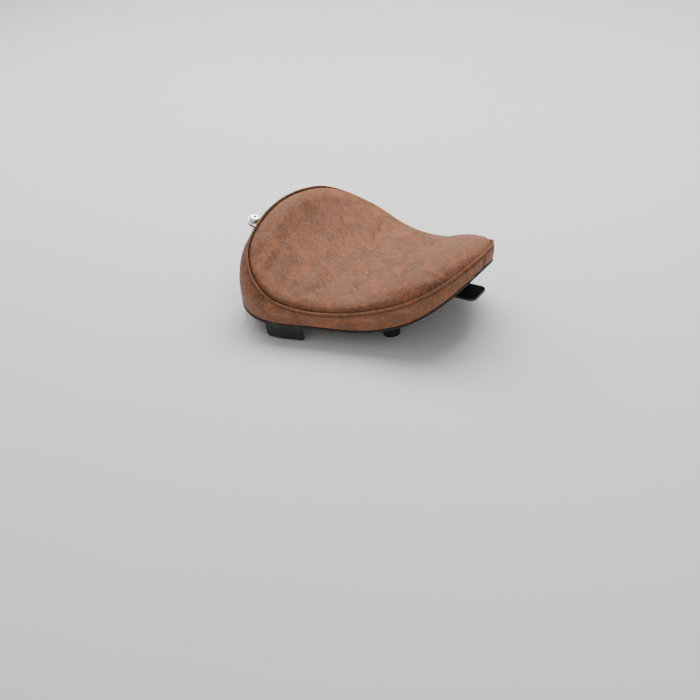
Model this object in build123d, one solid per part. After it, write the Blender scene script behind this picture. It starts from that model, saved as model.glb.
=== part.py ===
"""Low solo motorcycle seat: a vinyl cover over foam on a moulded pan, with its brackets and hardware.

Axes: +X forward to the nose, +Y to the rider's left, +Z up. All sizes are in millimetres.
The origin is on the plane of the rubber feet, half-way between the nose and the end of the rear tab.
"""

import os
from math import acos, asin, atan2, cos, degrees, hypot, pi, radians, sin, sqrt, tan

from build123d import *

os.makedirs("parts", exist_ok=True)

# ---------------------------------------------------------------- driving dimensions

# Plan of the seam between the top panel and the side band
seam_length = 351.0
seam_width = 268.0
rear_arc_r = 255.0
corner_r = 80.0
nose_r = 90.0
nose_x = 207.0

# Side wall: wider and further back at the bottom than at the top
flare_height = 100.0
flare_out = 14.0
flare_back = 16.0
wall_foot_reach = 0.2
wall_head_reach = 0.5

# Heights: the lower edge above the feet, then the seam above the lower edge
edge_level = 28.0
edge_nose_rise = 77.0
edge_knee_x = 43.0
saddle_from_rear = 149.3
saddle_rise = 25.0
seam_rear_rise = 111.0
seam_nose_rise = 99.0

# Padding above the seam
crown_saddle = 14.0
crown_rear = 8.0
crown_nose = 10.0
edge_roll = 6.0
least_roll = 1.0
crown_edge_depth = 2.0

# Cover
cover_t = 1.8
hem_depth = 15.0
joint_gap = 0.3
soft_gap = 0.25

# Seam lip and thread
lip_height = 4.5
lip_proud = 1.3
thread_d = 0.7
stitch_below_lip = 1.6
joint_stitch_offset = 3.2

# Pan
pan_t = 4.8
carpet_t = 2.0
lining_gap = 1.0
trim_w = 4.0
trim_h = 3.0
trim_inset = 1.2

# Wheel guard that the rear of the seat sits over
guard_arc_r = 520.0
guard_crown_r = 80.0

# Rear tab, its pad and its screw
tab_w = 20.0
tab_t = 3.0
tab_pad_t = 4.0
tab_hole_behind = 51.2
tab_top_z = 93.0
tab_slope = 18.0
tab_front_ahead = 47.3
tab_pad_length = 26.0
tab_pad_margin = 1.0
screw_r = 3.175
screw_clearance = 0.45
thread_length = 15.0
thread_gap = 0.5
neck_r = 2.6
head_r = 7.8
head_h = 4.4
head_round = 1.8
socket_r = 2.3
socket_depth = 2.2
washer_r = 8.8
washer_t = 1.4
washer_clearance = 0.3
washer_seat_gap = 0.05
retainer_r = 5.6
retainer_t = 1.5
retainer_lift = 0.2
pocket_clearance = 0.8

# Front tongue
tongue_w = 38.0
tongue_plate_w = 48.0
tongue_t = 3.0
tongue_plate_rear_x = 98.0
tongue_bend_x = 148.0
tongue_tip_x = 196.0
tongue_corner_r = 9.0

# Rivets
rivet_r = 2.4
rivet_head_r = 4.8
rivet_head_h = 1.6
rivet_tail_r = 4.0
rivet_tail_h = 1.6
rivet_clearance = 0.05
rivet_seat_gap = 0.2
tab_rivets_ahead = (29.3, 5.3)
tongue_rivet_spots = ((108.0, -15.0), (108.0, 15.0), (132.0, 0.0))

# Rubber feet
foot_h = 20.0
foot_base_r = 12.0
foot_top_r = 14.0
foot_bore_r = 6.6
foot_bore_depth = 12.0
boss_r = 16.0
rear_feet_ahead = 51.3
rear_feet_inset = 30.0
front_feet_x = 82.0
front_feet_inset = 72.0
foot_screw_r = 2.4
foot_screw_head_r = 4.6
foot_screw_head_h = 3.0
foot_screw_reach = 9.0
foot_screw_slot_w = 1.2
foot_hole_spare = 0.5
foot_washer_r = 6.0
foot_washer_t = 1.0

# Label tab
label_ahead = 99.8
label_w = 56.0
label_drop = 26.0
label_t = 1.4
label_inset = 2.8
label_flange = 7.0
label_corner = 4.0

# Staples that hold the hem
staple_crown = 10.0
staple_wire = 0.9
staple_leg = 5.0
staple_pitch = 26.0
staple_inset = 10.5

# ---------------------------------------------------------------- worked-out places

plan_x = nose_x - lip_proud - seam_length / 2
rear_end_x = plan_x - seam_length / 2
nose_end_x = plan_x + seam_length / 2

# What is set out from the rear end of the seam, or from its sides
saddle_x = rear_end_x + saddle_from_rear
tab_hole_x = rear_end_x - tab_hole_behind
tab_front_x = rear_end_x + tab_front_ahead
rear_feet_x = rear_end_x + rear_feet_ahead
rear_feet_y = seam_width / 2 - rear_feet_inset
front_feet_y = seam_width / 2 - front_feet_inset
label_x = rear_end_x + label_ahead

rear_centre_x = rear_end_x + rear_arc_r
nose_centre_x = nose_end_x - nose_r
corner_centre_y = seam_width / 2 - corner_r
corner_centre_x = rear_centre_x - sqrt((rear_arc_r - corner_r) ** 2 - corner_centre_y**2)
rear_join_angle = atan2(corner_centre_y, corner_centre_x - rear_centre_x)
side_run = hypot(nose_centre_x - corner_centre_x, corner_centre_y)
side_normal_angle = atan2(-corner_centre_y, nose_centre_x - corner_centre_x) + acos(
    (corner_r - nose_r) / side_run
)

guard_axis_x = tab_hole_x - (guard_arc_r + tab_pad_t + tab_t) * sin(radians(tab_slope))
guard_axis_z = tab_top_z - (guard_arc_r + tab_pad_t + tab_t) * cos(radians(tab_slope))
tunnel_gap = tab_pad_t + tab_t

# How far cutters run past what they cut, and the size of a space with no limit
cut_over = 6.0
turn_over = 5.0
FAR = 400.0


def arc_radius(run, rise):
    """Radius of the arc that starts level and climbs by rise over run."""
    return (run**2 + rise**2) / (2 * rise)


seam_low_z = edge_level + saddle_rise
seam_rear_r = arc_radius(saddle_x - rear_end_x, seam_rear_rise - saddle_rise)
seam_nose_r = arc_radius(nose_end_x - saddle_x, seam_nose_rise - saddle_rise)
crown_low_z = seam_low_z + crown_saddle
crown_rear_r = arc_radius(
    saddle_x - rear_end_x, seam_rear_rise + crown_rear - saddle_rise - crown_saddle
)
crown_nose_r = arc_radius(
    nose_end_x - saddle_x, seam_nose_rise + crown_nose - saddle_rise - crown_saddle
)
edge_arc_r = arc_radius(nose_end_x - edge_knee_x, edge_nose_rise)


def turn_to_nose(radius):
    """Degrees that a saddle arc turns by to reach the nose and pass it."""
    return degrees(asin((nose_end_x - saddle_x) / radius)) + turn_over


def edge_z(x):
    """Height of the lower edge of the side band."""
    if x <= edge_knee_x:
        return edge_level
    return edge_level + edge_arc_r - sqrt(edge_arc_r**2 - (x - edge_knee_x) ** 2)


def edge_slope(x):
    """Climb angle of the lower edge, in radians."""
    return asin((x - edge_knee_x) / edge_arc_r) if x > edge_knee_x else 0.0


# ---------------------------------------------------------------- shared shapes


def outline(inset, flare):
    """Plan outline: flare 0 is the seam plan and flare 1 the foot of the side wall."""
    grow = flare_out * flare - inset
    back = flare_back * flare

    def at(centre_x, centre_y, radius, angle):
        return (centre_x - back + (radius + grow) * cos(angle), centre_y + (radius + grow) * sin(angle))

    def mirrored(point):
        return (point[0], -point[1])

    mid_corner = (rear_join_angle + side_normal_angle) / 2
    rear_left = at(rear_centre_x, 0, rear_arc_r, rear_join_angle)
    corner_mid = at(corner_centre_x, corner_centre_y, corner_r, mid_corner)
    side_rear = at(corner_centre_x, corner_centre_y, corner_r, side_normal_angle)
    side_front = at(nose_centre_x, 0, nose_r, side_normal_angle)
    rear_mid = at(rear_centre_x, 0, rear_arc_r, pi)
    nose_mid = at(nose_centre_x, 0, nose_r, 0)
    edges = [
        ThreePointArc(mirrored(rear_left), rear_mid, rear_left),
        ThreePointArc(rear_left, corner_mid, side_rear),
        Line(side_rear, side_front),
        ThreePointArc(side_front, nose_mid, mirrored(side_front)),
        Line(mirrored(side_front), mirrored(side_rear)),
        ThreePointArc(mirrored(side_rear), mirrored(corner_mid), mirrored(rear_left)),
    ]
    return make_face(edges)


def wall(inset):
    """Everything inside the side wall, moved in by inset."""
    foot_flare = 1 + wall_foot_reach
    head_flare = -wall_head_reach
    return loft(
        [
            Pos(Z=edge_level + flare_height * (1 - foot_flare)) * outline(inset, foot_flare),
            Pos(Z=edge_level + flare_height * (1 - head_flare)) * outline(inset, head_flare),
        ],
        ruled=True,
    )


def below(low_x, low_z, rear_r, front_r, drop=0.0, rear_turn=70.0, front_turn=60.0):
    """Everything under a saddle surface: two arcs that meet level at low_x, dropped square to it."""
    front_r = front_r + drop
    base = low_z - drop
    front = (low_x + front_r * sin(radians(front_turn)), base + front_r * (1 - cos(radians(front_turn))))
    front_mid = (
        low_x + front_r * sin(radians(front_turn / 2)),
        base + front_r * (1 - cos(radians(front_turn / 2))),
    )
    edges = [ThreePointArc((low_x, base), front_mid, front)]
    if rear_r:
        rear_r = rear_r + drop
        rear = (low_x - rear_r * sin(radians(rear_turn)), base + rear_r * (1 - cos(radians(rear_turn))))
        rear_mid = (
            low_x - rear_r * sin(radians(rear_turn / 2)),
            base + rear_r * (1 - cos(radians(rear_turn / 2))),
        )
        edges.append(ThreePointArc(rear, rear_mid, (low_x, base)))
    else:
        rear = (low_x, base)
    edges.append(Polyline(front, (FAR, front[1]), (FAR, -FAR), (-FAR, -FAR), (-FAR, rear[1]), rear))
    return extrude(Plane.XZ * make_face(edges), amount=FAR, both=True)


def below_seam(drop=0.0):
    front_turn = turn_to_nose(seam_nose_r)
    return below(saddle_x, seam_low_z, seam_rear_r, seam_nose_r, drop, front_turn=front_turn)


def below_crown(drop=0.0):
    front_turn = turn_to_nose(crown_nose_r)
    return below(saddle_x, crown_low_z, crown_rear_r, crown_nose_r, drop, front_turn=front_turn)


def below_edge(drop=0.0):
    return below(edge_knee_x, edge_level, None, edge_arc_r, drop)


def guard(grow):
    """The wheel guard's crown as a ring, thickened by grow."""
    ring = Torus(guard_arc_r - guard_crown_r, guard_crown_r + grow)
    return Pos(guard_axis_x, 0, guard_axis_z) * Rot(X=90) * ring


def pad(inset):
    """The padded body inside the cover's outer face, moved in by inset, with its top edge rolled."""
    body = wall(inset) & below_crown(inset)
    crown_edges = [edge for edge in body.edges() if edge.center().Z > crown_low_z - inset - crown_edge_depth]
    return fillet(crown_edges, max(edge_roll - inset, least_roll))


def box_between(low, high):
    size = [b - a for a, b in zip(low, high)]
    middle = [(a + b) / 2 for a, b in zip(low, high)]
    return Pos(*middle) * Box(*size)


def guard_frame(x, lift):
    """A plane lifted off the guard's crown line, square to the tab where its top is at x."""
    turn = asin((x - guard_axis_x) / (guard_arc_r + tunnel_gap))
    radius = guard_arc_r + lift
    origin = (guard_axis_x + radius * sin(turn), 0, guard_axis_z + radius * cos(turn))
    return Plane(origin, x_dir=(cos(turn), 0, -sin(turn)), z_dir=(sin(turn), 0, cos(turn)))


def edge_frame(x, y, lift, heading=0.0):
    """A plane on the lower edge surface at x, y, lifted square to it, with X along heading."""
    slope = edge_slope(x)
    normal = (-sin(slope), 0, cos(slope))
    along = Vector(cos(slope) * cos(heading), sin(heading), sin(slope) * cos(heading))
    origin = (x + normal[0] * lift, y, edge_z(x) + normal[2] * lift)
    return Plane(origin, x_dir=along, z_dir=normal)


def post(x, y, radius, low, high):
    """An upright round bar from low to high."""
    return Pos(x, y, (low + high) / 2) * Cylinder(radius, high - low)


def rod(frame, radius, start, end):
    """A round bar along a frame's Z, from start to end."""
    return frame.location * Pos(Z=(start + end) / 2) * Cylinder(radius, end - start)


def rivet(frame, grip, grow=0.0):
    """A rivet whose head is under the frame and whose tail is grip above it."""
    head_top = -rivet_seat_gap
    tail_foot = grip + rivet_seat_gap
    return (
        rod(frame, rivet_head_r + grow, head_top - rivet_head_h - grow, head_top)
        + rod(frame, rivet_r + grow, head_top - rivet_head_h, tail_foot)
        + rod(frame, rivet_tail_r + grow, tail_foot, tail_foot + rivet_tail_h + grow)
    )


# ---------------------------------------------------------------- the pan and what is under it

pan_lift = cover_t + soft_gap
pan_inset = cover_t + soft_gap
inside_cover = wall(pan_inset)
foot_spots = {
    "rear_left": (rear_feet_x, rear_feet_y),
    "rear_right": (rear_feet_x, -rear_feet_y),
    "front_left": (front_feet_x, front_feet_y),
    "front_right": (front_feet_x, -front_feet_y),
}
tab_rivet_frames = [guard_frame(rear_end_x + ahead, tab_pad_t) for ahead in tab_rivets_ahead]
tongue_rivet_frames = [edge_frame(x, y, pan_lift - tongue_t) for x, y in tongue_rivet_spots]


def make_pan():
    floor_slab = inside_cover & (below_edge(-pan_lift - pan_t) - below_edge(-pan_lift))
    tunnel = (guard(tunnel_gap + pan_t) & inside_cover) - below_edge(-pan_lift)
    pan = floor_slab + tunnel - guard(tunnel_gap)
    for x, y in foot_spots.values():
        top = edge_z(x) + pan_lift + pan_t / 2
        pan += post(x, y, boss_r, foot_h, top)
    for x, y in foot_spots.values():
        hole_r = foot_screw_r + rivet_clearance
        pan -= post(x, y, hole_r, foot_h - cut_over, foot_h + foot_screw_reach + foot_hole_spare)
    for frame in tab_rivet_frames:
        pan -= rod(frame, rivet_r + rivet_clearance, 0, tab_t + pan_t + cut_over)
    for frame in tongue_rivet_frames:
        pan -= rod(frame, rivet_r + rivet_clearance, 0, tongue_t + pan_t + cut_over)
    return pan


def make_carpet():
    inner = wall(cover_t + hem_depth + soft_gap + lining_gap)
    sheet = inner & (below_edge(-pan_lift) - below_edge(carpet_t - pan_lift))
    sheet -= guard(tunnel_gap + soft_gap)
    lining = guard(tunnel_gap) - guard(tunnel_gap - carpet_t)
    lining = (lining & inner) - below_edge(carpet_t - pan_lift)
    carpet = sheet + lining
    for x, y in foot_spots.values():
        carpet -= post(x, y, boss_r + lining_gap, foot_h, edge_z(x) + cut_over)
    half = tab_w / 2 + lining_gap
    carpet -= box_between((-FAR, -half, 0), (tab_front_x + lining_gap, half, FAR))
    half = tongue_plate_w / 2 + lining_gap
    carpet -= box_between((tongue_plate_rear_x - lining_gap, -half, 0), (FAR, half, FAR))
    return carpet


def make_trim():
    """Rubber bead under the hem, open at the wheel guard and behind the label."""
    ring = wall(trim_inset) - wall(trim_inset + trim_w)
    bead = ring & (below_edge(0) - below_edge(trim_h))
    bead -= guard(tunnel_gap)
    half = label_w / 2 + lining_gap
    bead -= box_between((label_x - half, -FAR, 0), (label_x + half, -seam_width / 4, FAR))
    return bead


def foot(x, y):
    body = Pos(x, y, foot_h / 2) * Cone(foot_base_r, foot_top_r, foot_h)
    body -= post(x, y, foot_bore_r, 0, foot_bore_depth)
    return body - post(x, y, foot_screw_r + rivet_clearance, 0, foot_h)


def foot_washer(x, y):
    seat = foot_bore_depth - foot_washer_t
    disc = post(x, y, foot_washer_r, seat, foot_bore_depth)
    return disc - post(x, y, foot_screw_r + rivet_clearance, seat, foot_bore_depth)


def foot_screw(x, y):
    seat = foot_bore_depth - foot_washer_t
    face = seat - foot_screw_head_h
    head = post(x, y, foot_screw_head_r, face, seat)
    slot = Pos(x, y, face) * Box(2 * foot_screw_head_r, foot_screw_slot_w, foot_screw_head_h)
    return head - slot + post(x, y, foot_screw_r, seat, foot_h + foot_screw_reach)


# ---------------------------------------------------------------- brackets


def make_rear_tab():
    """Strap rolled to the guard's curve, with a round end about the screw hole."""
    strip = guard(tunnel_gap) - guard(tab_pad_t)
    straight = box_between((tab_hole_x, -tab_w / 2, 0), (tab_front_x, tab_w / 2, FAR))
    end_frame = guard_frame(tab_hole_x, tab_pad_t)
    round_end = rod(end_frame, tab_w / 2, -cut_over, tab_t + cut_over)
    strap = strip & (straight + round_end)
    strap -= rod(end_frame, screw_r + screw_clearance, -cut_over, tab_t + cut_over)
    for frame in tab_rivet_frames:
        strap -= rod(frame, rivet_r + rivet_clearance, -cut_over, tab_t + cut_over)
    return strap


def make_tab_pad():
    """Rubber pad under the tab, with a pocket for the screw's retainer."""
    strip = guard(tab_pad_t) - guard(0)
    end_frame = guard_frame(tab_hole_x, 0)
    half = tab_w / 2 - tab_pad_margin
    straight = box_between((tab_hole_x, -half, 0), (tab_hole_x + tab_pad_length, half, FAR))
    round_end = rod(end_frame, half, -cut_over, tab_pad_t + cut_over)
    pocket = rod(end_frame, retainer_r + pocket_clearance, -cut_over, tab_pad_t + cut_over)
    return (strip & (straight + round_end)) - pocket


def make_tongue():
    half = tongue_plate_w / 2
    plate = below_edge(-pan_lift) - below_edge(tongue_t - pan_lift)
    plate &= box_between((tongue_plate_rear_x, -half, 0), (tongue_bend_x, half, FAR))
    top = edge_z(tongue_bend_x) + pan_lift
    blade = box_between((tongue_bend_x, -tongue_w / 2, top - tongue_t), (tongue_tip_x, tongue_w / 2, top))
    tip = blade.edges().filter_by(Axis.Z).sort_by(Axis.X)[-2:]
    tongue = plate + fillet(tip, tongue_corner_r)
    for frame in tongue_rivet_frames:
        tongue -= rod(frame, rivet_r + rivet_clearance, -cut_over, tongue_t + cut_over)
    return tongue


# ---------------------------------------------------------------- captive screw

screw_frame = guard_frame(tab_hole_x, tab_pad_t + tab_t)


def make_washer():
    disc = rod(screw_frame, washer_r, washer_seat_gap, washer_t)
    return disc - rod(screw_frame, screw_r + washer_clearance, -cut_over, washer_t + cut_over)


def make_screw():
    """Captive screw: a round head with a hex socket, a thin neck, and a thread too wide to leave the tab."""
    under_head = washer_t + washer_seat_gap
    head = rod(screw_frame, head_r, under_head, under_head + head_h)
    rim = head.edges().filter_by(GeomType.CIRCLE).sort_by(lambda e: (e.center() - screw_frame.origin).length)
    head = fillet(rim[-1], head_round)
    socket = extrude(RegularPolygon(socket_r, 6, major_radius=False), amount=socket_depth)
    head -= screw_frame.location * Pos(Z=under_head + head_h - socket_depth) * socket
    thread_top = -tab_t - tab_pad_t - thread_gap
    neck = rod(screw_frame, neck_r, thread_top, under_head)
    return head + neck + rod(screw_frame, screw_r, thread_top - thread_length, thread_top)


def make_retainer():
    """Ring snapped on the screw's neck, in the pad's pocket."""
    foot_z = -tab_t - tab_pad_t + retainer_lift
    disc = rod(screw_frame, retainer_r, foot_z, foot_z + retainer_t)
    return disc - rod(screw_frame, neck_r, foot_z - cut_over, foot_z + retainer_t + cut_over)


# ---------------------------------------------------------------- cover and padding

outer_wall = wall(0)
inner_wall = wall(cover_t)
arch_cut = guard(tunnel_gap + joint_gap)


def make_foam():
    lift = pan_lift + pan_t + soft_gap
    foam = pad(cover_t + soft_gap) - below_edge(-lift)
    foam -= guard(tunnel_gap + pan_t + soft_gap)
    for frame in tab_rivet_frames:
        foam -= rivet(frame, tab_t + pan_t, soft_gap)
    for frame in tongue_rivet_frames:
        foam -= rivet(frame, tongue_t + pan_t, soft_gap)
    return foam


def make_top_panel():
    return pad(0) - pad(cover_t) - below_seam(0)


def make_bands():
    """Side band with its hem folded under the pan, split on the centreline into two pieces."""
    skin = (outer_wall - inner_wall) & (below_seam(joint_gap) - below_edge(0))
    hem = (inner_wall - wall(cover_t + hem_depth)) & (below_edge(-cover_t) - below_edge(0))
    band = skin + hem - arch_cut
    half = joint_gap / 2
    left = band & box_between((-FAR, half, -FAR), (FAR, FAR, FAR))
    right = band & box_between((-FAR, -FAR, -FAR), (FAR, -half, FAR))
    return left, right


def ring_on_wall(proud, top_drop, height):
    """A strip proud of the side wall that follows the seam, top_drop below it."""
    strip = wall(-proud) - outer_wall
    return strip & (below_seam(top_drop) - below_seam(top_drop + height))


def joint_thread():
    """Two rows of thread beside the upright joint at the nose."""
    start = lip_height + stitch_below_lip + 2 * thread_d
    skin = (wall(-thread_d) - outer_wall) & (below_seam(start) - below_edge(-1))
    inner_y = joint_stitch_offset - thread_d / 2
    outer_y = joint_stitch_offset + thread_d / 2
    left_row = box_between((0, inner_y, 0), (FAR, outer_y, FAR))
    right_row = box_between((0, -outer_y, 0), (FAR, -inner_y, FAR))
    return skin & (left_row + right_row)


# ---------------------------------------------------------------- label and staples


def wall_foot(x):
    """Half-width at the foot of the side wall at x, and the turn of the wall's normal from +X."""
    centre_x = corner_centre_x - flare_back
    radius = corner_r + flare_out
    turn = side_normal_angle
    line_start_x = centre_x + radius * cos(turn)
    if x < line_start_x:
        turn = acos((x - centre_x) / radius)
    reach = max(x - line_start_x, 0) / tan(turn)
    return corner_centre_y + radius * sin(turn) - reach, turn


def make_label():
    """Flexible tab sewn under the right lower edge, hanging flat against the side."""
    half_width, turn = wall_foot(label_x)
    frame = Plane((label_x, -half_width, edge_level), x_dir=(sin(turn), cos(turn), 0), z_dir=(0, 0, 1))
    drop = Pos(0, label_inset + label_t / 2, -label_drop / 2) * Box(label_w, label_t, label_drop)
    corners = drop.edges().filter_by(Axis.Y).group_by(Axis.Z)[0]
    drop = chamfer(corners, label_corner)
    flange = Pos(0, label_inset + label_flange / 2, -label_t / 2) * Box(label_w, label_flange, label_t)
    return frame.location * (drop + flange)


def staple(frame):
    bar = Pos(Z=-staple_wire / 2) * Box(staple_crown, staple_wire, staple_wire)
    reach = (staple_crown - staple_wire) / 2
    leg = Box(staple_wire, staple_wire, staple_leg + staple_wire)
    leg_z = (staple_leg - staple_wire) / 2
    return frame.location * (bar + Pos(-reach, 0, leg_z) * leg + Pos(reach, 0, leg_z) * leg)


def make_staples():
    path = outline(staple_inset, 1).face().outer_wire()
    count = round(path.length / staple_pitch)
    staples = []
    for index in range(count):
        place = (index + 0.5) / count
        point = path @ place
        direction = path % place
        in_tunnel = point.X < rear_feet_x and abs(point.Y) < guard_crown_r + tunnel_gap
        if in_tunnel:
            continue
        frame = edge_frame(point.X, point.Y, 0, atan2(direction.Y, direction.X))
        staples.append(staple(frame))
    return Compound(staples)


# ---------------------------------------------------------------- build and write

band_left, band_right = make_bands()
nodes = {
    "top_panel": make_top_panel(),
    "side_band_left": band_left,
    "side_band_right": band_right,
    "seam_lip": ring_on_wall(lip_proud, joint_gap, lip_height),
    "top_stitch_thread": ring_on_wall(thread_d, lip_height + stitch_below_lip, thread_d),
    "nose_joint_thread": joint_thread(),
    "foam_cushion": make_foam(),
    "base_pan": make_pan(),
    "edge_trim": make_trim(),
    "pan_carpet": make_carpet(),
    "rear_tab": make_rear_tab(),
    "tab_pad": make_tab_pad(),
    "tab_rivets": Compound([rivet(frame, tab_t + pan_t) for frame in tab_rivet_frames]),
    "front_tongue": make_tongue(),
    "tongue_rivets": Compound([rivet(frame, tongue_t + pan_t) for frame in tongue_rivet_frames]),
    "screw_washer": make_washer(),
    "mounting_screw": make_screw(),
    "screw_retainer": make_retainer(),
    "foot_washers": Compound([foot_washer(x, y) for x, y in foot_spots.values()]),
    "foot_screws": Compound([foot_screw(x, y) for x, y in foot_spots.values()]),
    "label_tab": make_label(),
    "hem_staples": make_staples(),
}
for corner, (x, y) in foot_spots.items():
    nodes["rubber_foot_" + corner] = foot(x, y)

for name, shape in nodes.items():
    export_step(shape, f"parts/{name}.step")
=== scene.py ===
"""Looks of the low solo motorcycle seat: its padded top, side bands, seam roll, stitching and finishes."""

from math import acos, atan2, cos, hypot, pi, radians, sin, sqrt

import bpy
import numpy as np
from mathutils import Matrix, Vector


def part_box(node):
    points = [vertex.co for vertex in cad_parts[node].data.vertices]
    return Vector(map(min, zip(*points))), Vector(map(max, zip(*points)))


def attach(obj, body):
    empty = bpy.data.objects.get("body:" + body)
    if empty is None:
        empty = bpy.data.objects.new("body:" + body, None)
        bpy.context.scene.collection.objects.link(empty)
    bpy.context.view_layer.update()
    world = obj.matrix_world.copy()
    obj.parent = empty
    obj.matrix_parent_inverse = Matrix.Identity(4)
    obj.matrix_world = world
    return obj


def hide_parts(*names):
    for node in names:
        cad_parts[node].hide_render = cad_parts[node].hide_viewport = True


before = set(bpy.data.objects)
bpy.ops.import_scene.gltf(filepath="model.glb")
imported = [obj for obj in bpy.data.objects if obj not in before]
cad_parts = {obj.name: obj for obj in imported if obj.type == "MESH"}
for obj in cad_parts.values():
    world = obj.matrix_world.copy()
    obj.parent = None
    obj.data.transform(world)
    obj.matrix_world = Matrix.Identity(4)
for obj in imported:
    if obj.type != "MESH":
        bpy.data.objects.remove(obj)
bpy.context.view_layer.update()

MM = 0.001

# ---------------------------------------------------------------- sizes, in metres

# Plan of the seam round the top panel
SEAM_LENGTH = 351 * MM
SEAM_WIDTH = 268 * MM
REAR_R = 255 * MM
CORNER_R = 80 * MM
NOSE_R = 90 * MM
NOSE_END_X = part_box("side_band_left")[1].x

# The wall under the seam grows and moves back towards its foot
FLARE_HEIGHT = 100 * MM
FLARE_OUT = 14 * MM
FLARE_BACK = 16 * MM

# Heights of the lower edge, and of the saddle curves
EDGE_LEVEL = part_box("side_band_left")[0].z
EDGE_NOSE_RISE = 77 * MM
EDGE_KNEE_X = 43 * MM
SADDLE_X = 4 * MM
SADDLE_RISE = 25 * MM
SEAM_REAR_RISE = 111 * MM
SEAM_NOSE_RISE = 99 * MM

# Padding of the top
SADDLE_CROWN = 14 * MM
REAR_CROWN = 15 * MM
NOSE_CROWN = 26 * MM
EDGE_SHARE = 0.8
EDGE_RUN = 19 * MM
NOSE_EDGE_RUN = 34 * MM
GROOVE_DEPTH = 1.5 * MM
CROWN_RUN = 115 * MM
REAR_RUN = 150 * MM
NOSE_RUN = 210 * MM
SIM_SHRINK = 2.5 * MM
SIM_CAP = 4 * MM
SIM_FRAMES = 20
SIM_HELD = 3 * MM

# Wheel guard that the rear arches over
GUARD_ARC_R = 520 * MM
GUARD_CROWN_R = 80 * MM
TAB_SLOPE = radians(18)
TUNNEL_GAP = 7 * MM
TAB_HOLE_X = -196.5 * MM
TAB_TOP_Z = 93 * MM

# Cover
COVER_T = 1.6 * MM
HEM_DEPTH = 15 * MM
HEM_ROLL = 3.5 * MM
BAND_PUFF = 2.0 * MM
HAUNCH_PUFF = 6.0 * MM
HAUNCH_SHARES = (0.30, 0.37)  # shares of the seam's length from the nose
PAN_CLEARANCE = 2.3 * MM
FOAM_LIFT = 7.2 * MM
ARCH_CLEARANCE = 0.4 * MM
FOAM_OVER_ARCH = 5.2 * MM

# Stitching
STITCH_PITCH = 4.2 * MM
STITCH_LENGTH = 3.4 * MM
THREAD_R = 0.42 * MM
STITCH_DROP = 4.7 * MM
STITCH_PROUD = 1.75 * MM
JOINT_STITCH_PROUD = 0.15 * MM
JOINT_ROW_OFFSET = 3.2 * MM

ROUND = 240  # points round the seam

# ---------------------------------------------------------------- the seat's form

PLAN_X = NOSE_END_X - SEAM_LENGTH / 2
REAR_CENTRE_X = PLAN_X - SEAM_LENGTH / 2 + REAR_R
NOSE_CENTRE_X = NOSE_END_X - NOSE_R
CORNER_CENTRE_Y = SEAM_WIDTH / 2 - CORNER_R
CORNER_CENTRE_X = REAR_CENTRE_X - sqrt((REAR_R - CORNER_R) ** 2 - CORNER_CENTRE_Y**2)
REAR_ANGLE = atan2(CORNER_CENTRE_Y, CORNER_CENTRE_X - REAR_CENTRE_X)
SIDE_RUN = hypot(NOSE_CENTRE_X - CORNER_CENTRE_X, CORNER_CENTRE_Y)
SIDE_ANGLE = atan2(-CORNER_CENTRE_Y, NOSE_CENTRE_X - CORNER_CENTRE_X) + acos((CORNER_R - NOSE_R) / SIDE_RUN)
LINE_LENGTH = sqrt(SIDE_RUN**2 - (CORNER_R - NOSE_R) ** 2)

# Runs round half the seam, from the nose to the end of its arc, side, corner arc and half of the rear arc
HALF_RUNS = np.cumsum([
    NOSE_R * SIDE_ANGLE, LINE_LENGTH, CORNER_R * (REAR_ANGLE - SIDE_ANGLE), REAR_R * (pi - REAR_ANGLE),
])
PERIMETER = 2 * HALF_RUNS[3]

GUARD_X = TAB_HOLE_X - (GUARD_ARC_R + TUNNEL_GAP) * sin(TAB_SLOPE)
GUARD_Z = TAB_TOP_Z - (GUARD_ARC_R + TUNNEL_GAP) * cos(TAB_SLOPE)


def arc_radius(run, rise):
    return (run**2 + rise**2) / (2 * rise)


SEAM_LOW = EDGE_LEVEL + SADDLE_RISE
SEAM_REAR_R = arc_radius(SADDLE_X - (NOSE_END_X - SEAM_LENGTH), SEAM_REAR_RISE - SADDLE_RISE)
SEAM_NOSE_R = arc_radius(NOSE_END_X - SADDLE_X, SEAM_NOSE_RISE - SADDLE_RISE)
EDGE_ARC_R = arc_radius(NOSE_END_X - EDGE_KNEE_X, EDGE_NOSE_RISE)


def smooth(low, high, value):
    """0 below low, 1 above high and a soft step between them."""
    t = np.clip((value - low) / (high - low), 0, 1)
    return t * t * (3 - 2 * t)


def rim(share):
    """Plan points and outward normals of the seam, at shares of its length from the nose by the left side."""
    share = np.asarray(share, float) % 1
    left = share <= 0.5
    run = np.where(left, share, 1 - share) * PERIMETER
    on = [run <= end for end in HALF_RUNS[:3]]
    angle = np.select(
        on,
        [run / NOSE_R, np.full_like(run, SIDE_ANGLE), SIDE_ANGLE + (run - HALF_RUNS[1]) / CORNER_R],
        REAR_ANGLE + (run - HALF_RUNS[2]) / REAR_R,
    )
    slide = np.where(on[1] & ~on[0], run - HALF_RUNS[0], 0)
    radius = np.select(on, [NOSE_R, NOSE_R, CORNER_R], REAR_R)
    centre_x = np.select(on, [NOSE_CENTRE_X, NOSE_CENTRE_X, CORNER_CENTRE_X], REAR_CENTRE_X)
    centre_y = np.select(on, [0, 0, CORNER_CENTRE_Y], 0)
    x = centre_x + radius * np.cos(angle) - slide * np.sin(angle)
    y = centre_y + radius * np.sin(angle) + slide * np.cos(angle)
    turn = np.where(left, 1, -1)
    return np.stack([x, y * turn], -1), np.stack([np.cos(angle), np.sin(angle) * turn], -1)


def on_wall(share, z, out=0.0):
    """Points of the side wall at height z, moved out of it by out."""
    point, normal = rim(share)
    flare = 1 - (z - EDGE_LEVEL) / FLARE_HEIGHT
    plan = point + normal * (FLARE_OUT * flare + out)[..., None]
    return np.stack([plan[..., 0] - FLARE_BACK * flare, plan[..., 1], z + 0 * plan[..., 0]], -1)


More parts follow.
